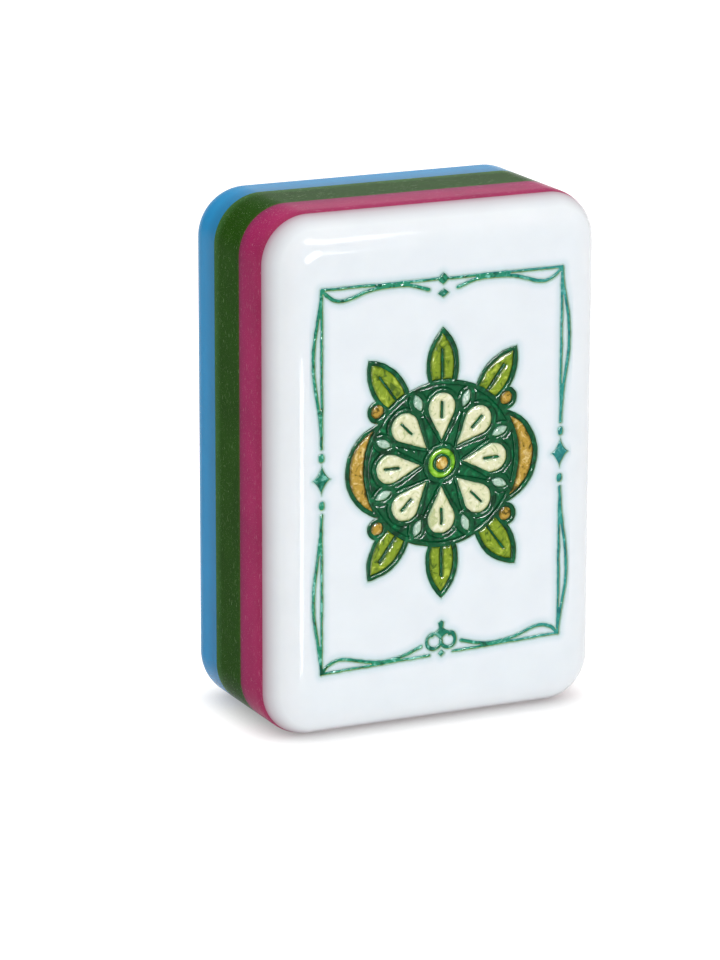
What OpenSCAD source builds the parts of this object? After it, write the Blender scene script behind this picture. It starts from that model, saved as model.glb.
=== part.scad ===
// Mahjong tile: four bonded resin layers with an engraved and paint-filled front.
// It stands on its short edge with its front towards -Y.
// The origin is the middle of the base, under the middle of the whole depth.

/* [Tile] */
// Width across the front
tile_w = 24; // [23.5:0.5:30]
// Height as it stands
tile_h = 35; // [33.5:0.5:45]
// Depth from the front to the back
tile_d = 14; // [13:0.5:20]
// Radius of the four corners seen from the front
corner_r = 3.3; // [3.1:0.1:4.5]
// Radius of the rounded edge around the front
face_edge_r = 3; // [1:0.1:3]
// Radius of the rounded edge around the back
back_edge_r = 2.3; // [1:0.1:3]

/* [Layers] */
// Thickness of the white front layer
face_t = 2.2; // [1.5:0.1:3]
// Thickness of the pink layer
pink_t = 3.3; // [2:0.1:5]
// Thickness of the green layer, with the blue one behind it taking what is left of the depth
green_t = 4; // [2:0.1:6]

/* [Engraving] */
// Depth of every engraved pocket
pocket_depth = 0.45; // [0.3:0.05:0.8]
// How far the cured paint lies below the front
paint_sink = 0.05; // [0.02:0.01:0.1]

/* [Border] */
// From the tile's side to a side line
side_margin = 3.35; // [3.35:0.05:3.6]
// From the tile's top to the top line
top_margin = 4.7; // [3.6:0.05:5.2]
// From the tile's base to the middle of the bottom line
base_margin = 5.05; // [4:0.05:5.6]
// How much lower the bottom line lies at its left end than in the middle
border_lean = 0.32; // [0:0.02:0.5]
// Width of a straight border line
line_w = 0.22; // [0.15:0.01:0.3]
// Width of a bowed companion line
bow_line_w = 0.26; // [0.15:0.01:0.35]
// How far a side line's companion bows outwards
bow = 0.58; // [0.4:0.02:0.7]
// How far the top and bottom companions swing inwards near a corner
swing = 0.78; // [0.5:0.02:1]

/* [Side stars] */
// Height of a side star's middle above the border's middle
star_lift = 0.12; // [-1:0.02:1]
// Height of a side star
star_h = 2.05; // [1.4:0.05:2.4]
// Width of a side star
star_w = 1.3; // [0.8:0.05:1.6]
// Width of a bead above or below a star
bead_w = 0.4; // [0.3:0.02:0.5]
// Height of a bead above or below a star
bead_h = 0.62; // [0.5:0.02:0.8]
// From a star's middle up to the bead above it
bead_up = 1.45; // [1.4:0.05:1.6]
// From a star's middle down to the bead below it
bead_down = 1.72; // [1.5:0.05:1.8]
// Clear space between a bead and the end of the line beyond it
line_gap = 0.22; // [0.15:0.01:0.4]

/* [Top and bottom ornaments] */
// Width and height of the diamond in the top line
diamond_w = 0.84; // [0.5:0.02:1]
// Width of the bead under the diamond
drop_w = 0.76; // [0.5:0.02:0.9]
// Height of the bead under the diamond
drop_h = 0.6; // [0.4:0.02:0.7]
// From the top line down to that bead
drop_fall = 0.95; // [0.9:0.05:1.3]
// Outer diameter of a scroll ring in the bottom ornament
ring_d = 1.34; // [1:0.02:1.5]
// Width of a scroll ring's line
ring_line_w = 0.3; // [0.2:0.01:0.35]
// Height of the rings' middles above the bottom line
ring_rise = 0.88; // [0.8:0.02:1.2]
// Diameter of the curled end of a scroll ring
curl_d = 0.38; // [0.34:0.01:0.42]
// Height of the bud above the rings' middles
bud_h = 1.42; // [1.2:0.02:1.8]
// Width across the bud's two arms
bud_w = 1.16; // [1:0.02:1.3]
// Width and height of the bead below the rings
foot_bead_w = 0.5; // [0.35:0.01:0.55]

/* [Flower] */
// Least clear space between the flower and a side star
star_gap = 1; // [0.6:0.05:2]
// Least clear space between the flower and the top bead or the bottom scroll
end_gap = 1.6; // [1:0.05:3]
// Height of the flower's middle above the middle of its field
flower_lift = -0.22; // [-0.4:0.02:0.4]
// Diameter of the round ground behind the petals
ground_d = 10.6; // [9.5:0.1:11.5]
// Width of the dark outline around each colour
outline_w = 0.33; // [0.25:0.01:0.4]
// Number of petals
petals = 8; // [6:1:9]
// Clear width between two petals where they are widest
petal_space = 0.92; // [0.8:0.02:1.2]
// From a petal's round end out to the ground's rim
petal_tip_gap = 0.58; // [0.5:0.02:0.8]
// From the heart's edge out to a petal's point
petal_root_gap = 0.55; // [0.5:0.05:0.9]
// Width of a petal's dark stroke
stroke_w = 0.16; // [0.12:0.01:0.24]
// Length of an accent between two petals
accent_l = 1.2; // [0.8:0.05:1.25]
// Width of an accent
accent_w = 0.6; // [0.4:0.02:0.7]
// From an accent's outer end out to the ground's rim
accent_gap = 0.15; // [0.1:0.05:0.3]
// Diameter of the heart
heart_d = 2; // [1.4:0.05:2.2]
// Diameter of the bead in the middle of the heart
heart_bead_d = 0.9; // [0.7:0.05:1]

/* [Leaves and scrolls] */
// Length of a leaf, with the end that lies under the ground
leaf_l = 4.3; // [3.5:0.05:4.6]
// Width of a leaf
leaf_w = 1.75; // [1.2:0.05:1.9]
// How far a leaf's root lies inside the ground's rim
leaf_tuck = 0.9; // [0.7:0.05:1.1]
// Clear space between a leaf and the berry beside it
leaf_space = 0.14; // [0.1:0.02:0.4]
// Width of a leaf's vein
vein_w = 0.15; // [0.12:0.01:0.2]
// Greatest width of a golden crescent
crescent_w = 1.04; // [0.7:0.02:1.2]
// Height of a golden crescent
crescent_h = 5.4; // [4:0.1:6]
// Diameter of a golden berry above or below a crescent
berry_d = 0.9; // [0.6:0.02:1]
// Clear space between a crescent's tip and the berry beyond it
berry_space = 0.75; // [0.7:0.05:1]

/* [Hidden] */
front_z = tile_d / 2;
pink_z = front_z - face_t;
green_z = pink_z - pink_t;
back_z = green_z - green_t;
rear_z = -tile_d / 2;
pocket_z = front_z - pocket_depth;
paint_t = pocket_depth - paint_sink;
cut_over = 1;

border_x = tile_w / 2 - side_margin;
border_top = tile_h - top_margin;
border_mid = (base_margin + border_top) / 2;
star_z = border_mid + star_lift;
ring_r = (ring_d - ring_line_w) / 2;

// The flower's own drawing, from its middle outwards
rim_r = ground_d / 2;
petal_end = rim_r - petal_tip_gap;
petal_root = heart_d / 2 + petal_root_gap;
petal_lean = sin(180 / petals);
petal_d = (2 * petal_lean * petal_end - petal_space) / (1 + petal_lean);
petal_reach = petal_end - petal_d / 2;
accent_reach = rim_r - accent_gap - accent_l / 2;
leaf_root = rim_r - leaf_tuck;
leaf_reach = leaf_root + leaf_l / 2;
scroll_r = rim_r + outline_w;
berry_reach = scroll_r + berry_d / 2;

// Directions of the leaves and berries from the flower's middle
berry_turn = asin(crescent_h / 2 / scroll_r) + asin((berry_space + berry_d / 2) / berry_reach);
leaf_turn = berry_turn + asin((berry_d / 2 + leaf_space + leaf_w / 2) / berry_reach);
leaf_angles = [leaf_turn, 90, 180 - leaf_turn, 180 + leaf_turn, 270, 360 - leaf_turn];
berry_angles = [berry_turn, 180 - berry_turn, 180 + berry_turn, 360 - berry_turn];

// The field between the side stars, the top bead and the bottom scroll, which the drawing fits
field_top = border_top - drop_fall - drop_h / 2;
field_foot = base_margin + ring_rise + bud_h;
flower_z = (field_top + field_foot) / 2 + flower_lift;
side_room = border_x - star_w / 2 - star_gap;
end_room = (field_top - field_foot) / 2 - abs(flower_lift) - end_gap;
flower_fit = min(
    side_room / (scroll_r + crescent_w + outline_w),
    end_room / (leaf_root + leaf_l + outline_w)
);

// Run from a corner as a share of half the width, and inward swing as a share of the swing
top_shares = [[0, 0], [0.055, 0.62], [0.13, 1.02], [0.22, 0.95], [0.4, 0.38], [0.55, 0.24], [0.72, 0.3],
    [0.88, 0.82]];
foot_shares = [[0, 0], [0.05, 0.62], [0.13, 0.95], [0.22, 0.88], [0.4, 0.32], [0.56, 0.16], [0.7, 0.4],
    [0.83, 0.88]];
// Where the straight bottom line ends, as a share of half the width from the corner
foot_line_share = 0.9;
// Half the bud's outline from its tip down, as shares of its width and height
bud_shares = [[0, 1], [0.2, 0.88], [0.16, 0.62], [0.3, 0.52], [0.5, 0.46], [0.46, 0.3], [0.2, 0.2]];
// Where a petal's dark stroke starts and ends, as shares of the petal's length from its point
stroke_shares = [0.49, 0.8];
// How far along a leaf its vein runs, as a share of the leaf's length from its root
vein_share = 0.75;
// A bow swings out soonest near the corner: below 1 its widest place moves that way
bow_lead = 0.87;
bow_steps = 16;
star_point = 2.6;
diamond_point = 1.7;
// How far past its top a scroll ring runs, in degrees
curl_turn = 72;
round_fn = 96;
arc_steps = 24;
star_steps = 8;
curve_steps = 3;
cap_steps = 6;

// A point of a smooth curve between b and c, where a and d are the points beyond them
function curve_point(a, b, c, d, t) =
    b + t / 2 * ((c - a) + t * ((2 * a - 5 * b + 4 * c - d) + t * (3 * b - 3 * c + d - a)));
// The points of a smooth curve through hand-placed points
function smooth(p, n = curve_steps) = let (last = len(p) - 1) concat(
    [for (i = [0:last - 1], k = [0:n - 1])
        curve_point(p[max(i - 1, 0)], p[i], p[i + 1], p[min(i + 2, last)], k / n)],
    [p[last]]
);
function unit(v) = v / norm(v);
function heading(p, i) = unit(p[min(i + 1, len(p) - 1)] - p[max(i - 1, 0)]);
function left_of(v) = [-v[1], v[0]];
function turned(v, a) = [v[0] * cos(a) - v[1] * sin(a), v[0] * sin(a) + v[1] * cos(a)];
// A round end, from the right side of a heading to its left side
function cap(at, dir, r) = [for (k = [1:cap_steps - 1]) at + r * turned(dir, 180 * k / cap_steps - 90)];
// The outline of a line of even width along a path, with round ends
function line_outline(p, w) = let (last = len(p) - 1) concat(
    [for (i = [0:last]) p[i] - w / 2 * left_of(heading(p, i))],
    cap(p[last], heading(p, last), w / 2),
    [for (i = [last:-1:0]) p[i] + w / 2 * left_of(heading(p, i))],
    cap(p[0], -heading(p, 0), w / 2)
);
module line(p, w) { polygon(line_outline(p, w)); }
function arc(at, r, from, to, n) = [for (k = [0:n]) at + r * turned([1, 0], from + (to - from) * k / n)];

// A star with four hollow sides, or with full ones where point is small
function power(v, n) = sign(v) * pow(abs(v), n);
module four_point(w, h, point) {
    polygon([for (k = [0:4 * star_steps - 1]) let (a = 90 * k / star_steps) [
        w / 2 * power(cos(a), point),
        h / 2 * power(sin(a), point)
    ]]);
}

// A pointed oval of length l along X and width w, grown all round by g
module pointed_oval(l, w, g = 0) {
    r = (l * l + w * w) / (4 * w);
    intersection() {
        translate([0, r - w / 2]) circle(r + g, $fn = round_fn);
        translate([0, w / 2 - r]) circle(r + g, $fn = round_fn);
    }
}

// One edge of the tile, seen along the edge: X outwards, Y to the front
module rounded_corner_cut(r) {
    difference() {
        translate([-r, -r]) square([r + cut_over, r + cut_over]);
        translate([-r, -r]) circle(r, $fn = round_fn);
    }
}
module edge_profile(reach, z0, z1) {
    intersection() {
        difference() {
            translate([0, rear_z]) square([reach, tile_d]);
            translate([reach, front_z]) rounded_corner_cut(face_edge_r);
            translate([reach, rear_z]) mirror([0, 1]) rounded_corner_cut(back_edge_r);
        }
        translate([0, z0]) square([reach, z1 - z0]);
    }
}
// A slice of the rounded tile between two depths, lying on its back
module slice(z0, z1) {
    span_x = tile_w - 2 * corner_r;
    span_y = tile_h - 2 * corner_r;
    translate([0, tile_h / 2, 0]) {
        for (side = [0, 1]) mirror([side, 0, 0]) {
            rotate([90, 0, 0]) linear_extrude(span_y, center = true) edge_profile(tile_w / 2, z0, z1);
            for (end = [0, 1]) mirror([0, end, 0]) translate([span_x / 2, span_y / 2, 0])
                rotate_extrude(angle = 90, $fn = round_fn) edge_profile(corner_r, z0, z1);
        }
        for (end = [0, 1]) mirror([0, end, 0])
            rotate([90, 0, 90]) linear_extrude(span_x, center = true) edge_profile(tile_h / 2, z0, z1);
    }
}

// From the way that the drawing lies to the way that the tile stands
module stand() { rotate([90, 0, 0]) children(); }
module pour() {
    stand() translate([0, 0, pocket_z]) linear_extrude(paint_t) children();
}

// Drawings on the front, in its own plane: X to the right, Y up, from the middle of the base
function side_path(side, from, to) = [for (k = [0:bow_steps]) let (t = k / bow_steps)
    [side * (border_x + bow * pow(sin(180 * pow(t, bow_lead)), 2)), from + (to - from) * t]];
module side_lines(side, corner, end) {
    line([[side * border_x, corner], [side * border_x, end]], line_w);
    line(side_path(side, corner, end), bow_line_w);
}
upper_end = star_z + bead_up + bead_h / 2 + line_gap + line_w / 2;
lower_end = star_z - bead_down - bead_h / 2 - line_gap - line_w / 2;
function foot_y(side, share) = base_margin + side * border_lean * (1 - share);

module upper_border_shape() {
    line([[-border_x, border_top], [border_x, border_top]], line_w);
    translate([0, border_top]) four_point(diamond_w, diamond_w, diamond_point);
    for (side = [-1, 1]) {
        side_lines(side, border_top, upper_end);
        line(smooth([for (s = top_shares)
            [side * border_x * (1 - s[0]), border_top - swing * s[1]]]), bow_line_w);
    }
}
module lower_border_shape(side) {
    corner = foot_y(side, 0);
    side_lines(side, corner, lower_end);
    line([[side * border_x, corner],
        [side * border_x * (1 - foot_line_share), foot_y(side, foot_line_share)]], line_w);
    line(smooth([for (s = foot_shares)
        [side * border_x * (1 - s[0]), foot_y(side, s[0]) + swing * s[1]]]), bow_line_w);
}
module star_shape(side) {
    translate([side * border_x, star_z]) four_point(star_w, star_h, star_point);
}
module bead_shape(side, rise) {
    x = side * border_x;
    half = (bead_h - bead_w) / 2;
    line([[x, star_z + rise - half], [x, star_z + rise + half]], bead_w);
}
module top_bead_shape() {
    translate([0, border_top - drop_fall]) four_point(drop_w, drop_h, diamond_point);
}
module bottom_scroll_shape() {
    translate([0, base_margin + ring_rise]) {
        for (side = [-1, 1]) {
            middle = [side * ring_r, 0];
            start = 90 + side * 90;
            curl_end = start + side * (180 + curl_turn);
            line(arc(middle, ring_r, start, curl_end, arc_steps), ring_line_w);
            translate(middle + (ring_r + (ring_line_w - curl_d) / 2) * turned([1, 0], curl_end))
                circle(d = curl_d, $fn = round_fn);
        }
        polygon(concat(
            [for (s = bud_shares) [-s[0] * bud_w, s[1] * bud_h]],
            [[0, 0]],
            [for (i = [len(bud_shares) - 1:-1:1]) [bud_shares[i][0] * bud_w, bud_shares[i][1] * bud_h]]
        ));
    }
}
module bottom_bead_shape() {
    translate([0, base_margin]) four_point(foot_bead_w, foot_bead_w, diamond_point);
}

// Cells of the flower, each grown by g for the outline around it
module at_flower(angle = 0, reach = 0) {
    translate([0, flower_z]) scale(flower_fit) rotate(angle) translate([reach, 0]) children();
}
module petal_cell(i, g = 0) {
    r = petal_d / 2 + g;
    tip = petal_reach - petal_root + g;
    touch = acos(r / tip);
    at_flower(360 / petals * i, petal_reach) {
        circle(r, $fn = round_fn);
        polygon([[-tip, 0], r * [-cos(touch), -sin(touch)], r * [-cos(touch), sin(touch)]]);
    }
}
module petal_stroke(i) {
    at_flower(360 / petals * i, petal_root)
        line([for (s = stroke_shares) [s * (petal_end - petal_root), 0]], stroke_w);
}
module petal_fill(i) {
    difference() {
        petal_cell(i);
        petal_stroke(i);
    }
}
module accent_cell(i, g = 0) {
    at_flower(360 / petals * (i + 0.5), accent_reach) pointed_oval(accent_l, accent_w, g);
}
module heart_disc(d, g = 0) { at_flower() circle(d / 2 + g, $fn = round_fn); }
module leaf_blade(i, g = 0) {
    difference() {
        at_flower(leaf_angles[i - 1], leaf_reach) pointed_oval(leaf_l, leaf_w, g);
        heart_disc(ground_d, outline_w);
    }
}
module leaf_vein(i) {
    at_flower(leaf_angles[i - 1]) line([[rim_r, 0], [leaf_root + vein_share * leaf_l, 0]], vein_w);
}
module crescent_blade(side, g = 0) {
    drop = scroll_r - sqrt(scroll_r * scroll_r - crescent_h * crescent_h / 4);
    rise = drop + crescent_w;
    r = (rise * rise + crescent_h * crescent_h / 4) / (2 * rise);
    difference() {
        at_flower() translate([side * (scroll_r + crescent_w - r), 0]) circle(r + g, $fn = round_fn);
        heart_disc(ground_d, outline_w);
    }
}
module berry_disc(i, g = 0) {
    at_flower(berry_angles[i - 1], berry_reach) circle(berry_d / 2 + g, $fn = round_fn);
}

module flower_shape() {
    heart_disc(ground_d, outline_w);
    for (i = [1:len(leaf_angles)]) leaf_blade(i, outline_w);
    for (side = [-1, 1]) crescent_blade(side, outline_w);
    for (i = [1:len(berry_angles)]) berry_disc(i, outline_w);
}
module leaf_cell(i) {
    difference() {
        leaf_blade(i);
        leaf_vein(i);
    }
}
module ground_cell() {
    difference() {
        heart_disc(ground_d);
        heart_disc(heart_d, outline_w);
        for (i = [1:petals]) petal_cell(i, outline_w);
        for (i = [1:petals]) accent_cell(i, outline_w);
    }
}
module heart_cell() {
    difference() {
        heart_disc(heart_d);
        heart_disc(heart_bead_d, outline_w / 2);
    }
}
module outline_shape() {
    difference() {
        flower_shape();
        ground_cell();
        heart_cell();
        heart_disc(heart_bead_d);
        for (i = [1:petals]) petal_fill(i);
        for (i = [1:petals]) accent_cell(i);
        for (i = [1:len(leaf_angles)]) leaf_cell(i);
        for (side = [-1, 1]) crescent_blade(side);
        for (i = [1:len(berry_angles)]) berry_disc(i);
    }
}

module all_pockets() {
    upper_border_shape();
    for (side = [-1, 1]) {
        lower_border_shape(side);
        star_shape(side);
        bead_shape(side, bead_up);
        bead_shape(side, -bead_down);
    }
    top_bead_shape();
    bottom_scroll_shape();
    bottom_bead_shape();
    flower_shape();
}

module back_layer() { color("#4084b1") stand() slice(rear_z, back_z); }
module green_layer() { color("#3d5d31") stand() slice(back_z, green_z); }
module pink_layer() { color("#a84070") stand() slice(green_z, pink_z); }
module face_layer() {
    color("#ecf3fa") stand() difference() {
        slice(pink_z, front_z);
        translate([0, 0, pocket_z]) linear_extrude(pocket_depth + cut_over) all_pockets();
    }
}
module upper_border() { color("#3c9678") pour() upper_border_shape(); }
module lower_left_border() { color("#3c9678") pour() lower_border_shape(-1); }
module lower_right_border() { color("#3c9678") pour() lower_border_shape(1); }
module side_star(side) { color("#15785a") pour() star_shape(side); }
module side_bead(side, rise) { color("#4aa08c") pour() bead_shape(side, rise); }
module top_bead() { color("#1f8a5c") pour() top_bead_shape(); }
module bottom_scroll() { color("#1f8a5c") pour() bottom_scroll_shape(); }
module bottom_bead() { color("#1f8a5c") pour() bottom_bead_shape(); }
module flower_outline() { color("#0a4a2a") pour() outline_shape(); }
module flower_ground() { color("#0b6238") pour() ground_cell(); }
module flower_heart() { color("#7dbe28") pour() heart_cell(); }
module heart_bead() { color("#dfe6a0") pour() heart_disc(heart_bead_d); }
module petal(i) { color("#e1e4b9") pour() petal_fill(i); }
module accent(i) { color("#a9bf95") pour() accent_cell(i); }
module leaf(i) { color("#829b23") pour() leaf_cell(i); }
module crescent(side) { color("#b9963c") pour() crescent_blade(side); }
module berry(i) { color("#b9963c") pour() berry_disc(i); }

back_layer();
green_layer();
pink_layer();
face_layer();
upper_border();
lower_left_border();
lower_right_border();
side_star(-1);  // left_star
side_star(1);  // right_star
side_bead(-1, bead_up);  // left_upper_bead
side_bead(-1, -bead_down);  // left_lower_bead
side_bead(1, bead_up);  // right_upper_bead
side_bead(1, -bead_down);  // right_lower_bead
top_bead();
bottom_scroll();
bottom_bead();
flower_outline();
flower_ground();
flower_heart();
heart_bead();
for (i = [1:petals]) petal(i);
for (i = [1:petals]) accent(i);
for (i = [1:len(leaf_angles)]) leaf(i);
crescent(-1);  // left_crescent
crescent(1);  // right_crescent
for (i = [1:len(berry_angles)]) berry(i);
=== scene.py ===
# Mahjong tile: four bonded slabs of cast resin, with enamel laid in the pockets of the white face
import math

import bmesh
import bpy
import numpy as np
from mathutils import Matrix, Vector, noise
from mathutils.geometry import delaunay_2d_cdt
from mathutils.kdtree import KDTree


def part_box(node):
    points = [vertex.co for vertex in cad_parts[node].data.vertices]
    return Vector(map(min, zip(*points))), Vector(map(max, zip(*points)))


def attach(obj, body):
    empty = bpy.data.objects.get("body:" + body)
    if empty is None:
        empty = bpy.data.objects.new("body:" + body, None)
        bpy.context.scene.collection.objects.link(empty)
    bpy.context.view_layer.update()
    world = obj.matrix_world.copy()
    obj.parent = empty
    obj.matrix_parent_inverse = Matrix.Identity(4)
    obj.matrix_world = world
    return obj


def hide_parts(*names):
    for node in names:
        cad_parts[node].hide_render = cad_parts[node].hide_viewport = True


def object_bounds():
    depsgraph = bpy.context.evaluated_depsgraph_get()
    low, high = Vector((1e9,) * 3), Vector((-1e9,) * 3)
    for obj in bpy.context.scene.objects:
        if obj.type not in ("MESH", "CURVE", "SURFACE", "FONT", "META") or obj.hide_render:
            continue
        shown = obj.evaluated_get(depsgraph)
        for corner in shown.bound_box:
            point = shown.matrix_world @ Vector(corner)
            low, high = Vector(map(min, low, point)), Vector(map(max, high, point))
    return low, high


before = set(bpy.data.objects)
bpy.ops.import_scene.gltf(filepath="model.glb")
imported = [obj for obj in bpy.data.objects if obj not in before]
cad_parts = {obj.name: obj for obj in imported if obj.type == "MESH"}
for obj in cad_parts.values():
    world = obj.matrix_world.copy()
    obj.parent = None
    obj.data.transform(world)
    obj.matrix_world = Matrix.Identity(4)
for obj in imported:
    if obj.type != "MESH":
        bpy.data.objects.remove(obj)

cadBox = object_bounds()
mm = 0.001  # the frame is in metres, the sizes below in millimetres
scene = bpy.context.scene

tile = {
    "cornerRadius": 3.3,  # the four upright edges of the outline
    "frontEdgeRadius": 3.0,
    "backEdgeRadius": 2.3,
    "cornerSteps": 32,
    "depthSteps": 56,
    "straightEdge": 5,  # a longer edge is one of the four straight sides
    "panelInset": 2.5,  # the carved panel of the face stops this far from the outline, just on the rounding
    "panelCuts": 60,
    "panelMargin": 0.3,  # its points keep this far from its rim
    "panelBands": ((0.08, 0.25), (0.22, 1.2), (0.8, 99)),  # their spacing, up to this far from a pocket
    "unpainted": 9.0,  # the paintDistance of the walls, past every ring of painted shade
}
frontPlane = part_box("face_layer")[0].y / mm  # the flat of the face, and the floor of its pockets
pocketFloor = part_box("upper_border")[1].y / mm
tileWidth = (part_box("back_layer")[1].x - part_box("back_layer")[0].x) / mm
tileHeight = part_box("back_layer")[1].z / mm


def fromHex(code):
    # sRGB hex to the linear colour that the shaders take
    parts = [int(code[i:i + 2], 16) / 255 for i in (1, 3, 5)]
    return [c / 12.92 if c <= 0.04045 else ((c + 0.055) / 1.055) ** 2.4 for c in parts] + [1]


def addNode(tree, kind, values=None, links=None, stops=None, **settings):
    # one node with its settings, socket values, incoming links and, on a ramp, its stops
    node = tree.nodes.new(kind)
    for name, value in settings.items():
        setattr(node, name, value)
    for socket, value in (values or {}).items():
        node.inputs[socket].default_value = value
    for socket, source in (links or {}).items():
        tree.links.new(source, node.inputs[socket])
    if stops:
        band = node.color_ramp.elements
        for stop, (place, colour) in zip(band, (stops[0], stops[-1])):
            stop.position, stop.color = place, fromHex(colour)
        for place, colour in stops[1:-1]:
            band.new(place).color = fromHex(colour)
    return node


def perPatch(size):
    # the scale of a noise whose patches are this many millimetres across
    return 1 / (size * mm)


def newMaterial(title):
    made = bpy.data.materials.new(title)
    made.use_nodes = True
    made.node_tree.nodes.clear()
    return made, made.node_tree


def tinted(tree, colour, tint, share):
    # a colour turned towards the tint by a share between 0 and 1
    return addNode(tree, "ShaderNodeMix", {7: fromHex(tint)}, {0: share.outputs[0], 6: colour},
                   data_type="RGBA").outputs[2]


def seenStraight(tree):
    # 1 for whatever the camera sees: straight on, in a gloss or through something clear
    path = addNode(tree, "ShaderNodeLightPath")
    seen = addNode(tree, "ShaderNodeMath",
                   links={0: path.outputs["Is Camera Ray"], 1: path.outputs["Is Glossy Ray"]})
    return addNode(tree, "ShaderNodeMath",
                   links={0: seen.outputs[0], 1: path.outputs["Is Transmission Ray"]}, use_clamp=True)


# Cast resin: dyed acrylic poured in slabs, bonded and tumbled smooth, so a clean gloss with a little depth.
# The stops run from the slab's front to its back, and hold the darker or stained band at each joint; on the
# white slab they also hold painted light and shade over its rounding.
resins = {
    "face_layer": {
        "slot": "white_resin", "title": "White cast resin, polished",
        # painted light and shade on the white's rounding: lighter from 0.2 to 0.4, then falling to grey from
        # 0.58 on, where the rounding turns from the light; the pink tint at the back is the pink showing
        # through the thin white
        "stops": ((0, "#EEF4FA"), (0.2, "#F4F9FE"), (0.4, "#F5FAFE"),
                  (0.58, "#EAECF0"), (0.79, "#D8D2D7"), (1, "#C199A9")),
        "roughness": 0.08, "specular": 0.09, "depth": 0.5, "depthShare": 0.25, "cloud": 0.015,
    },
    "pink_layer": {
        "slot": "pink_resin", "title": "Pink cast resin, tumbled",
        "stops": ((0, "#AC3A62"), (0.25, "#B12D64"), (0.6, "#AF2A63"), (0.81, "#A82A63"), (1, "#8F3057")),
        "roughness": 0.2, "specular": 0.01, "depth": 0.3, "depthShare": 0.1, "cloud": 0.1,
        "fleck": "#F0B0CC", "fleckShare": 0.45,
    },
    "green_layer": {
        "slot": "green_resin", "title": "Green cast resin, tumbled",
        "stops": ((0, "#405516"), (0.08, "#244F05"), (0.75, "#244F05"), (0.89, "#376429"), (1, "#457138")),
        "roughness": 0.2, "specular": 0.006, "depth": 0.3, "depthShare": 0.1, "cloud": 0.12,
        "fleck": "#B4D69C", "fleckShare": 0.5,
    },
    "back_layer": {
        "slot": "blue_resin", "title": "Blue cast resin, tumbled",
        "stops": ((0, "#0F84BA"), (0.12, "#0F87BF"), (0.32, "#1096D3"), (1, "#1096D3")),
        "roughness": 0.2, "specular": 0.045, "depth": 0.4, "depthShare": 0.1, "cloud": 0.03,
    },
}
# in the dye, slow clouds and chopped fibres; on the skin, what the tumbling leaves. Sizes in millimetres
clouds = {"size": 2.5, "from": 0.3, "to": 0.7}
fibres = {"length": 0.5, "width": 0.06, "topLength": 0.55, "from": 0.69, "to": 0.75}
waves = {"size": 1.6, "depth": 0.01, "share": 0.3}
# painted shade in the resin round each pocket, in place of the enamel's shadow in the translucent white,
# tinted blue green; first wide and faint, then close and stronger
pocketShades = ({"colour": "#D9E8EE", "reach": 0.6}, {"colour": "#AFCFC6", "reach": 0.16})


def resinMaterial(node, recipe):
    material, tree = newMaterial(recipe["title"])
    low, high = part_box(node)
    place = addNode(tree, "ShaderNodeTexCoord").outputs["Object"]
    axes = addNode(tree, "ShaderNodeSeparateXYZ", links={0: place})
    across = addNode(tree, "ShaderNodeMapRange", {"From Min": low.y, "From Max": high.y},
                     {"Value": axes.outputs["Y"]})
    colour = addNode(tree, "ShaderNodeValToRGB", links={"Fac": across.outputs[0]},
                     stops=recipe["stops"]).outputs["Color"]
    cloud = addNode(tree, "ShaderNodeTexNoise", {"Scale": perPatch(clouds["size"]), "Detail": 3},
                    {"Vector": place})
    shade = addNode(tree, "ShaderNodeMapRange",
                    {"From Min": clouds["from"], "From Max": clouds["to"],
                     "To Min": 1 - recipe["cloud"], "To Max": 1 + recipe["cloud"]},
                    {"Value": cloud.outputs["Fac"]})
    colour = addNode(tree, "ShaderNodeVectorMath", links={0: colour, 1: shade.outputs[0]},
                     operation="MULTIPLY").outputs["Vector"]
    if "fleck" in recipe:
        length, width, top = fibres["length"], fibres["width"], fibres["topLength"]
        for spans in ((width, width, length), (top, width, width)):
            stretch = addNode(tree, "ShaderNodeMapping", {"Scale": [perPatch(s) for s in spans]},
                              {"Vector": place})
            fibre = addNode(tree, "ShaderNodeTexNoise", {"Scale": 1, "Detail": 1, "Distortion": 0.3},
                            {"Vector": stretch.outputs[0]})
            share = addNode(tree, "ShaderNodeMapRange",
                            {"From Min": fibres["from"], "From Max": fibres["to"],
                             "To Max": recipe["fleckShare"]},
                            {"Value": fibre.outputs["Fac"]})
            colour = tinted(tree, colour, recipe["fleck"], share)
    if node == "face_layer":
        # painted shade round each pocket, by its distance from the nearest pocket
        near = addNode(tree, "ShaderNodeAttribute", attribute_name="paintDistance")
        for pocketShade in pocketShades:
            share = addNode(tree, "ShaderNodeMapRange", {"From Max": pocketShade["reach"], "To Min": 1, "To Max": 0},
                            {"Value": near.outputs["Fac"]}, interpolation_type="SMOOTHSTEP")
            colour = tinted(tree, colour, pocketShade["colour"], share)
    wave = addNode(tree, "ShaderNodeTexNoise", {"Scale": perPatch(waves["size"]), "Detail": 1},
                   {"Vector": place})
    bump = addNode(tree, "ShaderNodeBump", {"Strength": waves["share"], "Distance": waves["depth"] * mm},
                   {"Height": wave.outputs["Fac"]})
    shader = addNode(tree, "ShaderNodeBsdfPrincipled",
                     {"Roughness": recipe["roughness"], "IOR": 1.49, "Specular IOR Level": recipe["specular"],
                      "Subsurface Weight": recipe["depthShare"], "Subsurface Scale": recipe["depth"] * mm,
                      "Subsurface Radius": (1, 0.9, 0.8)},
                     {"Base Color": colour, "Normal": bump.outputs[0]})
    addNode(tree, "ShaderNodeOutputMaterial", links={"Surface": shader.outputs[0]})
    return material


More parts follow.
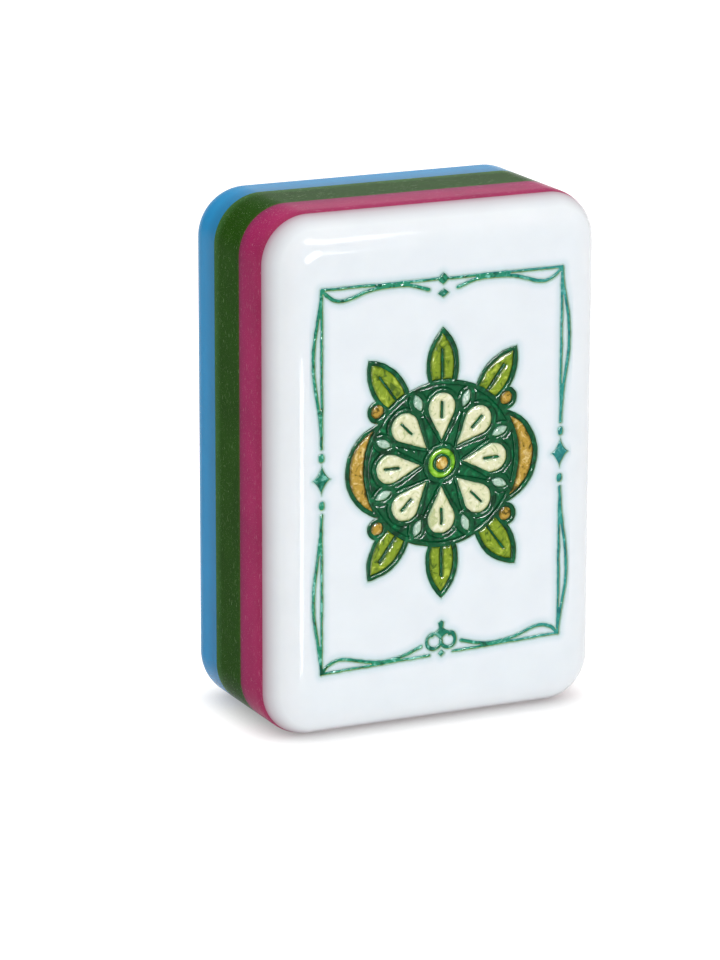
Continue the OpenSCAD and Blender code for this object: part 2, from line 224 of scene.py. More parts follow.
def slabTree():
    # a slab's wall: the tile's rounded outline, drawn in at each depth by the edge that rounds there
    tree = bpy.data.node_groups.new("Rounded slab", "GeometryNodeTree")
    sizes = ("Width", "Height", "Corner Radius", "Front", "Back",
             "Tile Front", "Tile Back", "Front Edge Radius", "Back Edge Radius")
    for name in sizes:
        tree.interface.new_socket(name, in_out="INPUT", socket_type="NodeSocketFloat")
    for name in ("Corner Steps", "Depth Steps"):
        tree.interface.new_socket(name, in_out="INPUT", socket_type="NodeSocketInt")
    tree.interface.new_socket("Material", in_out="INPUT", socket_type="NodeSocketMaterial")
    tree.interface.new_socket("Wall", in_out="OUTPUT", socket_type="NodeSocketGeometry")
    given = addNode(tree, "NodeGroupInput").outputs

    outline = addNode(tree, "GeometryNodeCurvePrimitiveQuadrilateral",
                      links={"Width": given["Width"], "Height": given["Height"]})
    rail = addNode(tree, "GeometryNodeFilletCurve",
                   links={"Curve": outline.outputs[0], "Count": given["Corner Steps"],
                          "Radius": given["Corner Radius"]}, mode="POLY")

    line = addNode(tree, "GeometryNodeCurvePrimitiveLine", {"End": (0, 1, 0)})
    steps = addNode(tree, "GeometryNodeResampleCurve",
                    links={"Curve": line.outputs[0], "Count": given["Depth Steps"]})
    along = addNode(tree, "GeometryNodeSplineParameter")
    depth = addNode(tree, "ShaderNodeMapRange",
                    links={"Value": along.outputs["Factor"],
                           "To Min": given["Front"], "To Max": given["Back"]},
                    interpolation_type="SMOOTHSTEP").outputs[0]
    insets = []
    for edge, near, far in (("Front Edge Radius", depth, given["Tile Front"]),
                            ("Back Edge Radius", given["Tile Back"], depth)):
        radius = given[edge]
        reach = addNode(tree, "ShaderNodeMath", links={0: near, 1: far}, operation="SUBTRACT")
        left = addNode(tree, "ShaderNodeMath", links={0: radius, 1: reach.outputs[0]}, operation="SUBTRACT")
        rest = addNode(tree, "ShaderNodeMath", {1: 0}, {0: left.outputs[0]}, operation="MAXIMUM")
        square = addNode(tree, "ShaderNodeMath", links={0: radius, 1: radius}, operation="MULTIPLY")
        part = addNode(tree, "ShaderNodeMath", links={0: rest.outputs[0], 1: rest.outputs[0]},
                       operation="MULTIPLY")
        gone = addNode(tree, "ShaderNodeMath", links={0: square.outputs[0], 1: part.outputs[0]},
                       operation="SUBTRACT")
        root = addNode(tree, "ShaderNodeMath", links={0: gone.outputs[0]}, operation="SQRT")
        insets.append(addNode(tree, "ShaderNodeMath", links={0: root.outputs[0], 1: radius},
                              operation="SUBTRACT"))
    shift = addNode(tree, "ShaderNodeMath", links={0: insets[0].outputs[0], 1: insets[1].outputs[0]})
    spot = addNode(tree, "ShaderNodeCombineXYZ", links={"X": shift.outputs[0], "Y": depth})
    profile = addNode(tree, "GeometryNodeSetPosition",
                      links={"Geometry": steps.outputs[0], "Position": spot.outputs[0]})

    wall = addNode(tree, "GeometryNodeCurveToMesh",
                   links={"Curve": rail.outputs[0], "Profile Curve": profile.outputs[0]})
    half = addNode(tree, "ShaderNodeMath", {1: 2}, {0: given["Height"]}, operation="DIVIDE")
    lift = addNode(tree, "ShaderNodeCombineXYZ", links={"Z": half.outputs[0]})
    stood = addNode(tree, "GeometryNodeTransform", {"Rotation": (math.pi / 2, 0, 0)},
                    {"Geometry": wall.outputs[0], "Translation": lift.outputs[0]})
    smooth = addNode(tree, "GeometryNodeSetShadeSmooth", links={"Geometry": stood.outputs[0]})
    real = addNode(tree, "GeometryNodeRealizeInstances", links={"Geometry": smooth.outputs[0]})
    dressed = addNode(tree, "GeometryNodeSetMaterial",
                      links={"Geometry": real.outputs[0], "Material": given["Material"]})
    addNode(tree, "NodeGroupOutput", links={0: dressed.outputs[0]})
    return tree


def fromTree(name, tree, values):
    # runs a tree on an empty mesh and keeps what it makes as a plain mesh
    holder = bpy.data.objects.new(name, bpy.data.meshes.new(name))
    scene.collection.objects.link(holder)
    modifier = holder.modifiers.new("Tree", "NODES")
    modifier.node_group = tree
    for socket, value in values.items():
        modifier[tree.interface.items_tree[socket].identifier] = value
    graph = bpy.context.evaluated_depsgraph_get()
    made = bpy.data.meshes.new_from_object(holder.evaluated_get(graph))
    holder.modifiers.remove(modifier)
    holder.data = made
    return holder


def outlineInset(x, z):
    # how far inside the tile's outline a place is, and which way the outline faces there
    centre = np.array((0, tileHeight / 2))
    half = np.array((tileWidth, tileHeight)) / 2 - tile["cornerRadius"]
    away = np.array((x, z)) - centre
    past = np.abs(away) - half
    corner = np.maximum(past, 0)
    if corner.any():
        reach, way = np.linalg.norm(corner), corner
    else:
        reach, way = past.max(), (past == past.max()).astype(float)
    way = way * np.sign(away)
    return tile["cornerRadius"] - reach, way / max(np.linalg.norm(way), 1e-9)


def faceSag(x, z):
    # how far the face falls back where its edge rounds
    radius = tile["frontEdgeRadius"]
    left = max(radius - outlineInset(x, z)[0], 0)
    return radius - math.sqrt(radius ** 2 - left ** 2)


def rimAt(bm, depth):
    return [e for e in bm.edges if e.is_boundary and all(abs(v.co.y - depth) < 1e-6 for v in e.verts)]


def settle(piece, bm):
    # writes a closed mesh back with its faces outwards and its flats shaded flat
    bmesh.ops.recalc_face_normals(bm, faces=bm.faces)
    bm.to_mesh(piece.data)
    bm.free()
    flats = piece.modifiers.new("Flats", "WEIGHTED_NORMAL")
    flats.keep_sharp = True


def roundFace(piece):
    # the face's own true normals, so that the rounding shades evenly over the carved panel's triangles
    piece.modifiers.clear()
    mesh = piece.data
    normals = []
    for face in mesh.polygons:
        for i in face.vertices:
            x, _, z = mesh.vertices[i].co / mm
            inset, way = outlineInset(x, z)
            lean = min(max(1 - inset / tile["frontEdgeRadius"], 0), 1)
            true = (way[0] * lean, -math.sqrt(1 - lean ** 2), way[1] * lean)
            normals.append(true if face.use_smooth else tuple(face.normal))
    mesh.normals_split_custom_set(normals)


def finish(piece, node):
    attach(piece, "root")
    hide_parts(node)


def makeSlab(node, tree, recipe):
    low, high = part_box(node)
    front = low.y
    if node == "face_layer":
        front += faceSag(tileWidth / 2 - tile["panelInset"], tileHeight / 2) * mm
    material = resinMaterial(node, recipe)
    piece = fromTree(node.replace("layer", "slab"), tree, {
        "Width": tileWidth * mm, "Height": tileHeight * mm, "Corner Radius": tile["cornerRadius"] * mm,
        "Front": front, "Back": high.y, "Tile Front": frontPlane * mm, "Tile Back": cadBox[1].y,
        "Front Edge Radius": tile["frontEdgeRadius"] * mm, "Back Edge Radius": tile["backEdgeRadius"] * mm,
        "Corner Steps": tile["cornerSteps"], "Depth Steps": tile["depthSteps"], "Material": material})
    bm = bmesh.new()
    bm.from_mesh(piece.data)
    layer = bm.verts.layers.float.new("paintDistance")
    for vert in bm.verts:
        vert[layer] = tile["unpainted"]
    if node == "face_layer":
        sides = [e for e in bm.edges if e.calc_length() > tile["straightEdge"] * mm]
        bmesh.ops.subdivide_edges(bm, edges=sides, cuts=tile["panelCuts"], use_grid_fill=True)
        cutFace(bm, rimAt(bm, front), layer)
    for depth in (front, high.y):
        rim = rimAt(bm, depth)
        if not rim:
            continue
        bmesh.ops.edgeloop_fill(bm, edges=rim)
        if depth != cadBox[1].y:
            for edge in rim:
                edge.smooth = False
    settle(piece, bm)
    if node == "face_layer":
        roundFace(piece)
    finish(piece, node)
    return piece


# Outlines of the pockets and of the enamel in them, as x and z in millimetres

drawing = {
    "cornerTurn": 26,  # degrees; a sharper turn stays a corner
    "straight": 0.6,  # a longer step is a straight line
    "shortest": 0.004,  # a shorter step is left out
    "step": 0.05,
    "wander": ((1.3, 0.035), (0.4, 0.02), (0.2, 0.014)),  # how the hand strays: over what length, by how much
    "seed": 1,
}
noise.seed_set(drawing["seed"])  # without it, the vector noise is another one on every run


def walkRim(edges):
    # puts loose edges in order, as closed loops of vertices, the same way on every run
    left, loops = dict.fromkeys(edges), []
    while left:
        edge = next(iter(left))
        del left[edge]
        loop = list(edge.verts)
        while True:
            following = [e for e in loop[-1].link_edges if e in left]
            if not following:
                break
            del left[following[0]]
            loop.append(following[0].other_vert(loop[-1]))
        loops.append(loop[:-1] if loop[0] == loop[-1] else loop)
    return loops


def flatLoops(node, depth):
    # the outlines of a node's faces that lie at this depth
    bm = bmesh.new()
    bm.from_mesh(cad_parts[node].data)
    bmesh.ops.remove_doubles(bm, verts=bm.verts, dist=1e-7)
    front = {f for f in bm.faces if all(abs(v.co.y - depth) < 1e-7 for v in f.verts)}
    rim = [e for e in bm.edges if sum(f in front for f in e.link_faces) == 1]
    loops = [np.array([(v.co.x / mm, v.co.z / mm) for v in loop]) for loop in walkRim(rim)]
    bm.free()
    return loops


def unit(vector):
    return vector / max(np.linalg.norm(vector), 1e-9)


def stray(points):
    # the same small wander for every outline that passes a place, so that neighbours still meet
    moved = []
    for x, z in points:
        for length, amount in drawing["wander"]:
            push = noise.noise_vector(Vector((x / length, z / length, 7.3 * length)))
            x, z = x + amount * push.x, z + amount * push.y
        moved.append((x, z))
    return np.array(moved)


def drawLoop(loop):
    # bends a coarse outline into smooth curves between its corners and its straight runs
    runs = np.roll(loop, -1, axis=0) - loop
    lengths = np.linalg.norm(runs, axis=1)
    loop = loop[lengths > drawing["shortest"]]
    runs = np.roll(loop, -1, axis=0) - loop
    lengths = np.linalg.norm(runs, axis=1)
    ways = runs / lengths[:, None]
    count = len(loop)
    limit = math.cos(math.radians(drawing["cornerTurn"]))
    straight = lengths > drawing["straight"]
    tangents = []
    for i in range(count):
        before, after = ways[i - 1], ways[i]
        if before @ after < limit:
            tangents.append(None)
        elif straight[i - 1]:
            tangents.append(before)
        elif straight[i]:
            tangents.append(after)
        else:
            tangents.append(unit(before * lengths[i] + after * lengths[i - 1]))
    points = []
    for i in range(count):
        start, end, way = loop[i], loop[(i + 1) % count], ways[i]
        first, last = tangents[i], tangents[(i + 1) % count]
        if straight[i] or (first is None and last is None):
            first = last = way
        elif first is None:
            first = 2 * (way @ last) * way - last
        elif last is None:
            last = 2 * (way @ first) * way - first
        steps = max(1, math.ceil(lengths[i] / drawing["step"]))
        for t in np.arange(steps) / steps:
            a, b = 2 * t ** 3 - 3 * t ** 2 + 1, t ** 3 - 2 * t ** 2 + t
            c, d = -2 * t ** 3 + 3 * t ** 2, t ** 3 - t ** 2
            points.append(a * start + b * lengths[i] * first + c * end + d * lengths[i] * last)
    return stray(points)


def insideLoops(points, loops):
    # even-odd test of many points against all the loops together
    inside = np.zeros(len(points), bool)
    x, y = points[:, 0], points[:, 1]
    for loop in loops:
        for (ax, ay), (bx, by) in zip(loop, np.roll(loop, -1, axis=0)):
            if ay != by:
                inside ^= ((ay > y) != (by > y)) & (x < (bx - ax) * (y - ay) / (by - ay) + ax)
    return inside


def dotGrid(loops, step):
    # points in even rows over the loops' box, every other row half a step along
    every = np.vstack(loops)
    (left, low), (right, high) = every.min(axis=0), every.max(axis=0)
    rise = step * math.sqrt(0.75)
    rows = np.arange(low, high, rise)
    return np.array([(x + step / 2 * (i % 2), z)
                     for i, z in enumerate(rows) for x in np.arange(left, right, step)])


def treeOf(points):
    tree = KDTree(len(points))
    for i, (x, z) in enumerate(points):
        tree.insert((x, z, 0), i)
    tree.balance()
    return tree


def triangulate(loops, inner):
    # triangles over the loops and the points inside; origins name the given point at each corner
    points = [Vector(p) for p in np.vstack(loops)] + [Vector(p) for p in inner]
    edges, start = [], 0
    for loop in loops:
        count = len(loop)
        edges += [(start + i, start + (i + 1) % count) for i in range(count)]
        start += count
    made = delaunay_2d_cdt(points, edges, [], 1, 1e-6, True)
    return np.array([tuple(p) for p in made[0]]), made[2], made[3]


def cutFace(bm, rim, layer):
    # the flat of the face with its pockets; paintDistance holds how far the nearest pocket is
    ring = walkRim(rim)[0]
    outline = np.array([(v.co.x / mm, v.co.z / mm) for v in ring])
    pockets = [drawLoop(loop) for loop in flatLoops("face_layer", pocketFloor * mm)]
    pocketTree = treeOf(np.vstack(pockets))
    inner, start = [], 0
    for step, reach in tile["panelBands"]:
        for x, z in dotGrid([outline], step):
            away = pocketTree.find((x, z, 0))[2]
            if max(start, step / 2) < away < reach:
                inner.append((x, z))
        start = reach
    inner = np.array(inner)
    inner = inner[insideLoops(inner, [outline]) & ~insideLoops(inner, pockets)]
    ringTree = treeOf(outline)
    inner = np.array([p for p in inner if ringTree.find((*p, 0))[2] > tile["panelMargin"]])
    points, faces, origins = triangulate([outline] + pockets, inner)
    middles = np.array([points[list(f)].mean(axis=0) for f in faces])
    sunk = insideLoops(middles, pockets)

    top = []
    for point, origin in zip(points, origins):
        if origin and origin[0] < len(ring):
            vert = ring[origin[0]]
        else:
            vert = bm.verts.new((point[0] * mm, (frontPlane + faceSag(*point)) * mm, point[1] * mm))
        vert[layer] = pocketTree.find((*point, 0))[2]
        top.append(vert)
    floor = {}
    for face, low in zip(faces, sunk):
        if low:
            for i in face:
                if i not in floor:
                    floor[i] = bm.verts.new((points[i][0] * mm, pocketFloor * mm, points[i][1] * mm))
                    floor[i][layer] = 0
        bm.faces.new([floor[i] if low else top[i] for i in face]).smooth = not low
    level = {vert: i for i, vert in enumerate(top)}
    for edge in list(bm.edges):
        a, b = (level.get(v) for v in edge.verts)
        if a in floor and b in floor and edge.is_boundary:
            edge.smooth = False
            bm.faces.new((top[a], top[b], floor[b], floor[a])).smooth = False
    bmesh.ops.delete(bm, geom=[v for v in bm.verts if not v.link_faces], context="VERTS")


# Enamel: thick solvent paint flowed into the pockets by hand and left to set, so rounded wet strokes
# with soft pools of deeper and thinner colour. All sizes are in millimetres.
# colours: where it pools, its body, where it thins; edges: painted shade and light along the rim, first on
# the side facing the upper left, then on the side facing the lower right;
# drift: what it turns towards at the tile's right
# On the lines, the drops and the outline the edges are a painted shaded side, bluish, and a painted lit side,
# yellow green; in the cells both are darker, painted shade where the raised outline stands over the fill
enamels = {
    "border_paint": {
        "title": "Teal green enamel line",
        "nodes": ("border", "left_upper", "left_lower", "right_upper", "right_lower"),
        "colours": ("#005238", "#248E6A", "#74C6B4"), "patch": 0.7, "drift": "#3E9FB0",
        "edges": ("#3E9DB8", "#C9D27A"), "edgeShadingWidth": 0.08,
        "step": 0.06, "edgeDepth": 0.08, "crown": 0.07, "reach": 0.11, "ripple": 0.05, "rippleSize": 0.24,
    },
    "ornament_paint": {
        "title": "Bright green enamel drop", "nodes": ("star", "top_bead", "bottom"),
        "colours": ("#005440", "#187A60", "#7CC4B4"), "patch": 0.6, "drift": "#3E9FB0",
        "edges": ("#4CA2AE", "#CBD67C"), "edgeShadingWidth": 0.08,
        "step": 0.06, "edgeDepth": 0.09, "crown": 0.075, "reach": 0.16, "ripple": 0.03, "rippleSize": 0.32,
    },
    "outline_paint": {
        "title": "Dark green enamel outline", "nodes": ("flower_outline",),
        "colours": ("#00361A", "#00512C", "#0F6E42"), "patch": 0.8,
        "edges": ("#1E6A5E", "#8A8E30"), "edgeShadingWidth": 0.07, "outerEdgeOnly": True,
        "step": 0.055, "edgeDepth": 0.1, "crown": 0.09, "reach": 0.16, "ripple": 0.04, "rippleSize": 0.3,
    },
    "ground_paint": {
        "title": "Deep green enamel ground", "nodes": ("flower_ground",),
        "colours": ("#003A20", "#005A32", "#12824E"), "patch": 0.9,
        "edges": ("#00361E", "#004A28"), "edgeShadingWidth": 0.2,
        "step": 0.07, "edgeDepth": 0.15, "crown": 0.075, "reach": 0.3, "ripple": 0.06, "rippleSize": 0.42,
    },
    "cream_paint": {
        "title": "Cream enamel, swirled", "nodes": ("petal",),
        "colours": ("#C2CB93", "#E8E8C0", "#F7F7DC"), "patch": 0.6,
        "edges": ("#A9C29A", "#9EAA66"), "edgeShadingWidth": 0.22,
        "step": 0.07, "edgeDepth": 0.15, "crown": 0.1, "reach": 0.4, "ripple": 0.055, "rippleSize": 0.42,
    },
    "accent_paint": {
        "title": "Pale grey green enamel", "nodes": ("accent",),
        "colours": ("#7FA88C", "#B2D0BC", "#EAF5EA"), "patch": 0.4,
        "edges": ("#5E9480", "#6E9A62"), "edgeShadingWidth": 0.14,
        "step": 0.06, "edgeDepth": 0.14, "crown": 0.1, "reach": 0.28, "ripple": 0.04, "rippleSize": 0.35,
    },
    "leaf_paint": {
        "title": "Olive enamel, swirled", "nodes": ("leaf",),
        "colours": ("#4C6A14", "#869F25", "#B9CB4C"), "patch": 0.7,
        "edges": ("#2E5A14", "#4E6408"), "edgeShadingWidth": 0.22,
        "step": 0.07, "edgeDepth": 0.15, "crown": 0.1, "reach": 0.35, "ripple": 0.055, "rippleSize": 0.42,
    },
    "gold_paint": {
        "title": "Gold ochre enamel", "nodes": ("crescent", "berry"),
        "colours": ("#5E4E0C", "#BF9A3C", "#E6CC86"), "patch": 0.6,
        "edges": ("#4A4608", "#3E3404"), "edgeShadingWidth": 0.24,
        "step": 0.06, "edgeDepth": 0.14, "crown": 0.1, "reach": 0.32, "ripple": 0.05, "rippleSize": 0.4,
    },
    "lime_paint": {
        "title": "Lime green enamel, domed", "nodes": ("flower_heart",),
        "colours": ("#4F9418", "#84C92C", "#B4E458"), "patch": 0.8,
        "edges": ("#2E7A18", "#4E8008"), "edgeShadingWidth": 0.16,
        "step": 0.06, "edgeDepth": 0.15, "crown": 0.13, "reach": 0.45, "ripple": 0.03, "rippleSize": 0.4,
    },
    "heart_paint": {
        "title": "Gold ochre enamel bead", "nodes": ("heart_bead",),
        "colours": ("#7A5C10", "#C9A040", "#EBD48C"), "patch": 0.5,
        "edges": ("#6A640E", "#5A4A08"), "edgeShadingWidth": 0.14,
        "step": 0.055, "edgeDepth": 0.13, "crown": 0.11, "reach": 0.38, "ripple": 0.03, "rippleSize": 0.35,
    },
}
pooling = (0.36, 0.45, 0.55, 0.66)  # levels of the swirl: pool, body, still body, thin
drifting = {"from": 3, "to": 8.5, "share": 0.35}  # to the right of the tile's middle
pucker = {"size": 0.25, "depth": 0.025}  # the fine skin of set paint
highest = 0.004  # the paint stays at least this far below the face
shadedSideWay = np.array((-0.75, 0.66))  # the upper left side, where the first edge tint paints the stroke's shaded side
tintWhole = 0.7  # an edge that faces that side by this much has the whole tint
probe = 0.004  # a step off an outline, to tell its inside from its outside


def enamelMaterial(recipe):
    material, tree = newMaterial(recipe["title"])
    place = addNode(tree, "ShaderNodeTexCoord").outputs["Object"]
    swirl = addNode(tree, "ShaderNodeTexNoise",
                    {"Scale": perPatch(recipe["patch"]), "Detail": 3, "Roughness": 0.55, "Distortion": 1.4},
                    {"Vector": place})
    pool, body, thin = recipe["colours"]
    colour = addNode(tree, "ShaderNodeValToRGB", links={"Fac": swirl.outputs["Fac"]},
                     stops=tuple(zip(pooling, (pool, body, body, thin)))).outputs["Color"]
    if "drift" in recipe:
        axes = addNode(tree, "ShaderNodeSeparateXYZ", links={0: place})
        share = addNode(tree, "ShaderNodeMapRange",
                        {"From Min": drifting["from"] * mm, "From Max": drifting["to"] * mm,
                         "To Max": drifting["share"]},
                        {"Value": axes.outputs["X"]})
        colour = tinted(tree, colour, recipe["drift"], share)
    near = addNode(tree, "ShaderNodeAttribute", attribute_name="edgeDistance")
    turn = addNode(tree, "ShaderNodeAttribute", attribute_name="shadedSideFacing")
    band = addNode(tree, "ShaderNodeMapRange", {"From Max": recipe["edgeShadingWidth"], "To Min": 1, "To Max": 0},
                   {"Value": near.outputs["Fac"]}, interpolation_type="SMOOTHSTEP")
    # painted light and shade along the rim: the first tint on edges facing the upper left, the second on
    # those facing the lower right
    for tint, limit in zip(recipe["edges"], (tintWhole, -tintWhole)):
        facing = addNode(tree, "ShaderNodeMapRange", {"From Max": limit}, {"Value": turn.outputs["Fac"]})
        share = addNode(tree, "ShaderNodeMath", links={0: band.outputs[0], 1: facing.outputs[0]},
                        operation="MULTIPLY")
        colour = tinted(tree, colour, tint, share)
    skin = addNode(tree, "ShaderNodeTexNoise", {"Scale": perPatch(pucker["size"]), "Detail": 1},
                   {"Vector": place})
    bump = addNode(tree, "ShaderNodeBump", {"Strength": 1, "Distance": pucker["depth"] * mm},
                   {"Height": skin.outputs["Fac"]})
    shader = addNode(tree, "ShaderNodeBsdfPrincipled",
                     {"Roughness": 0.1, "IOR": 1.5, "Specular IOR Level": 0.12},
                     {"Base Color": colour, "Normal": bump.outputs[0]})
    addNode(tree, "ShaderNodeOutputMaterial", links={"Surface": shader.outputs[0]})
    return material


def facingShadedSide(loops):
    # which way the outline faces at each of its points: 1 towards the side of the first painted edge tint, -1
    # towards the side of the second
    points = np.vstack(loops)
    along = np.vstack([np.roll(loop, -1, axis=0) - np.roll(loop, 1, axis=0) for loop in loops])
    normals = np.stack((along[:, 1], -along[:, 0]), axis=1)
    normals /= np.maximum(np.linalg.norm(normals, axis=1), 1e-9)[:, None]
    normals[insideLoops(points + normals * probe, loops)] *= -1
    return normals @ shadedSideWay


def makeEnamel(node, recipe, material):
    # one deposit: a rounded, slightly uneven skin over its pocket, down to the pocket's floor
    loops = [drawLoop(loop) for loop in flatLoops(node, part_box(node)[0].y)]
    border = np.vstack(loops)
    tree, turns = treeOf(border), facingShadedSide(loops)
    if recipe.get("outerEdgeOnly"):
        outer = max(loops, key=lambda loop: np.ptp(loop[:, 1]))
        turns *= np.concatenate([np.full(len(loop), float(loop is outer)) for loop in loops])
    dots = dotGrid(loops, recipe["step"])
    dots = dots[insideLoops(dots, loops)]
    dots = np.array([p for p in dots if tree.find((*p, 0))[2] > recipe["step"] / 2]).reshape(-1, 2)
    points, faces, origins = triangulate(loops, dots)
    middles = np.array([points[list(f)].mean(axis=0) for f in faces])
    faces = [f for f, inside in zip(faces, insideLoops(middles, loops)) if inside]

    bm = bmesh.new()
    nearLayer = bm.verts.layers.float.new("edgeDistance")
    shadedSideLayer = bm.verts.layers.float.new("shadedSideFacing")
    skin = []
    for x, z in points:
        _, index, away = tree.find((x, z, 0))
        share = min(away / recipe["reach"], 1)
        swell = recipe["crown"] * math.sqrt(1 - (1 - share) ** 2)
        wave = recipe["ripple"] * share * noise.noise(Vector((x, z, 3.1)) / recipe["rippleSize"])
        depth = faceSag(x, z) + max(recipe["edgeDepth"] - swell + wave, highest)
        vert = bm.verts.new((x * mm, (frontPlane + depth) * mm, z * mm))
        vert[nearLayer], vert[shadedSideLayer] = away, turns[index]
        skin.append(vert)
    for face in faces:
        bm.faces.new([skin[i] for i in face]).smooth = True
    rim = [e for e in bm.edges if e.is_boundary]
    level = {vert: i for i, vert in enumerate(skin)}
    given = {origin: i for i, found in enumerate(origins) for origin in found}
    points, faces, origins = triangulate(loops, [])
    base = {given[found[0]]: bm.verts.new((x * mm, pocketFloor * mm, z * mm))
            for (x, z), found in zip(points, origins)}
    middles = np.array([points[list(f)].mean(axis=0) for f in faces])
    for face, inside in zip(faces, insideLoops(middles, loops)):
        if inside:
            bm.faces.new([base[given[origins[i][0]]] for i in face]).smooth = False
    for edge in rim:
        a, b = edge.verts
        edge.smooth = False
        bm.faces.new((a, b, base[level[b]], base[level[a]])).smooth = False
    bmesh.ops.delete(bm, geom=[v for v in bm.verts if not v.link_faces], context="VERTS")
    piece = bpy.data.objects.new(node + "_enamel", bpy.data.meshes.new(node + "_enamel"))
    scene.collection.objects.link(piece)
    bmesh.ops.recalc_face_normals(bm, faces=bm.faces)
    bm.to_mesh(piece.data)
    bm.free()
    piece.data.materials.append(material)
    return piece


tree = slabTree()
for node, recipe in resins.items():
    slab = makeSlab(node, tree, recipe)
    print("slab", slab.name, len(slab.data.polygons), "faces")

for slot, recipe in enamels.items():
    material = enamelMaterial(recipe)
    nodes = [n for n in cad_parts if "layer" not in n and any(key in n for key in recipe["nodes"])]
    total = 0
    for node in nodes:
        deposit = makeEnamel(node, recipe, material)
        finish(deposit, node)
        total += len(deposit.data.polygons)
    print("enamel", slot, len(nodes), "deposits,", total, "faces")


# Matt white paper, pale enough to light the tile from below. The camera sees it darker, with a light of its
# own on top, so that it comes out plain white and its shadow grey. That lift fades close to the tile
ground = {
    "reach": 1500, "colour": "#F0F0F0",
    "seenColour": "#9C9C9C", "lift": 1.05,
    "shadeReach": 2.5, "shadeDepth": 0.74,  # how far from the tile the lift fades into a painted shadow, and by how much
}


def makeFloor():
    material, tree = newMaterial("White paper, matt")
    seen = seenStraight(tree)
    # painted shadow: the lift fades where the ambient occlusion finds the tile near, which darkens the floor
    # round its foot
    opening = addNode(tree, "ShaderNodeAmbientOcclusion", {"Distance": ground["shadeReach"] * mm})
    shade = addNode(tree, "ShaderNodeMath", {1: ground["shadeDepth"], 2: 1 - ground["shadeDepth"]},
                    {0: opening.outputs["AO"]}, operation="MULTIPLY_ADD")
    lift = addNode(tree, "ShaderNodeMath", {1: ground["lift"]}, {0: seen.outputs[0]}, operation="MULTIPLY")
    lift = addNode(tree, "ShaderNodeMath", links={0: lift.outputs[0], 1: shade.outputs[0]},
                   operation="MULTIPLY")
    tone = addNode(tree, "ShaderNodeMapRange",
                   {"To Min": fromHex(ground["colour"])[0], "To Max": fromHex(ground["seenColour"])[0]},
                   {"Value": seen.outputs[0]})
    paper = addNode(tree, "ShaderNodeBsdfPrincipled",
                    {"Roughness": 0.8, "Specular IOR Level": 0.1, "Emission Color": (1, 1, 1, 1)},
                    {"Base Color": tone.outputs["Result"], "Emission Strength": lift.outputs[0]})
    addNode(tree, "ShaderNodeOutputMaterial", links={"Surface": paper.outputs[0]})
    bm = bmesh.new()
    bmesh.ops.create_grid(bm, x_segments=4, y_segments=4, size=ground["reach"] * mm)
    floor = bpy.data.objects.new("floor", bpy.data.meshes.new("floor"))
    bm.to_mesh(floor.data)
    bm.free()
    floor.data.materials.append(material)
    scene.collection.objects.link(floor)


# Small softboxes for the highlights alone, as the room lights the rest. Millimetres from the tile's middle
lamps = {
    "key": {"place": (80, -350, 346), "size": (261, 83), "watts": 2.6, "roll": -20},
    "window": {"place": (61, -437, 88), "size": (226, 84), "watts": 10, "roll": 22},
    "edgeStrip": {"place": (-12.8, -18.5, -5.5), "size": (2, 22), "watts": 0.0042, "aim": (-10, -6.8, -5.5)},
}
# the room's own light: broad from the key's side, gathered overhead, and plain white where the camera sees it
fill = {
    "key": (-0.03, -0.95, 0), "towards": 1.5,
    "top": (0, 0.3, 0.95), "overhead": 1.8, "gather": 4,
    "seen": 1.0,
}


def makeLamp(name, recipe, middle):
    light = bpy.data.lights.new(name, "AREA")
    light.shape = "RECTANGLE"
    light.size, light.size_y = recipe["size"][0] * mm, recipe["size"][1] * mm
    light.energy = recipe["watts"]
    lamp = bpy.data.objects.new(name, light)
    scene.collection.objects.link(lamp)
    lamp.location = middle + Vector(recipe["place"]) * mm
    aim = middle + Vector(recipe.get("aim", (0, 0, 0))) * mm
    facing = (aim - lamp.location).to_track_quat("-Z", "Y").to_matrix()
    lamp.rotation_euler = (facing @ Matrix.Rotation(math.radians(recipe.get("roll", 0)), 3, "Z")).to_euler()
    lamp.visible_camera = False
    lamp.visible_diffuse = False


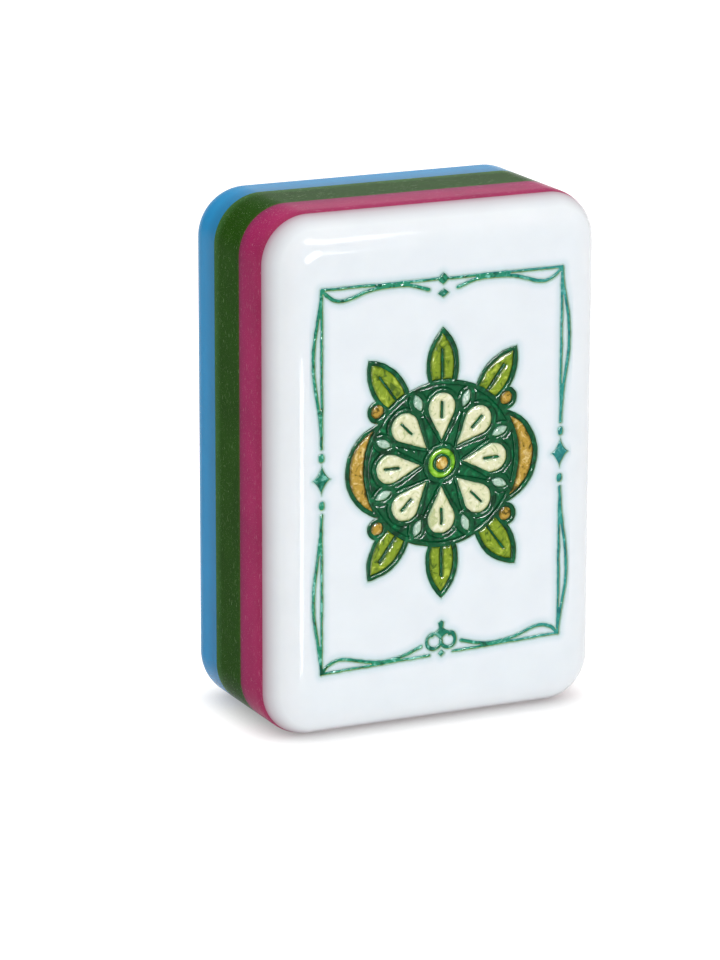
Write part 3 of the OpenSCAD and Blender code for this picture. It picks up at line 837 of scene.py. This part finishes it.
def makeWorld():
    world = bpy.data.worlds.new("Soft room")
    world.use_nodes = True
    tree = world.node_tree
    tree.nodes.clear()
    seen = seenStraight(tree)
    way = addNode(tree, "ShaderNodeTexCoord")
    lobes = []
    for side in ("key", "top"):
        facing = addNode(tree, "ShaderNodeVectorMath", {1: fill[side]}, {0: way.outputs["Generated"]},
                         operation="DOT_PRODUCT")
        lobes.append(addNode(tree, "ShaderNodeMath", {1: 0}, {0: facing.outputs["Value"]},
                             operation="MAXIMUM"))
    broad = addNode(tree, "ShaderNodeMath", {1: fill["towards"]}, {0: lobes[0].outputs[0]},
                    operation="MULTIPLY")
    narrow = addNode(tree, "ShaderNodeMath", {1: fill["gather"]}, {0: lobes[1].outputs[0]}, operation="POWER")
    lit = addNode(tree, "ShaderNodeMath", {1: fill["overhead"]}, {0: narrow.outputs[0], 2: broad.outputs[0]},
                  operation="MULTIPLY_ADD")
    level = addNode(tree, "ShaderNodeMix", {3: fill["seen"]}, {0: seen.outputs[0], 2: lit.outputs[0]})
    sky = addNode(tree, "ShaderNodeBackground", {"Color": (1, 1, 1, 1)}, {"Strength": level.outputs[0]})
    addNode(tree, "ShaderNodeOutputWorld", links={"Surface": sky.outputs[0]})
    scene.world = world


# The view: degrees round the tile and up from the floor, and where its middle lands in the picture
view = {
    "azimuth": -25.698, "elevation": 14.462, "roll": 0.255, "distance": 299.84, "lens": 168.99,
    "middleRight": 2.388, "middleUp": 2.241,  # millimetres from the picture's centre
    "sensor": 36, "near": 0.01, "far": 10,
}


def makeCamera(middle):
    turn, rise, roll = (math.radians(view[k]) for k in ("azimuth", "elevation", "roll"))
    back = Vector((math.sin(turn) * math.cos(rise), -math.cos(turn) * math.cos(rise), math.sin(rise)))
    right = Vector((math.cos(turn), math.sin(turn), 0))
    up = back.cross(right)
    right, up = right * math.cos(roll) + up * math.sin(roll), up * math.cos(roll) - right * math.sin(roll)
    place = middle + back * view["distance"] * mm
    aim = middle - (right * view["middleRight"] + up * view["middleUp"]) * mm
    back = (place - aim).normalized()
    right = up.cross(back).normalized()
    up = back.cross(right)
    lens = bpy.data.cameras.new("camera")
    lens.sensor_fit, lens.sensor_width, lens.lens = "AUTO", view["sensor"], view["lens"]
    lens.clip_start, lens.clip_end = view["near"], view["far"]
    camera = bpy.data.objects.new("camera", lens)
    scene.collection.objects.link(camera)
    camera.matrix_world = Matrix.Translation(place) @ Matrix((right, up, back)).transposed().to_4x4()
    scene.camera = camera


middle = Vector((0, 0, tileHeight * mm / 2))
makeFloor()
for name, recipe in lamps.items():
    makeLamp(name, recipe, middle)
makeWorld()
makeCamera(middle)
scene.view_settings.view_transform = "Standard"
print("stage and camera set")
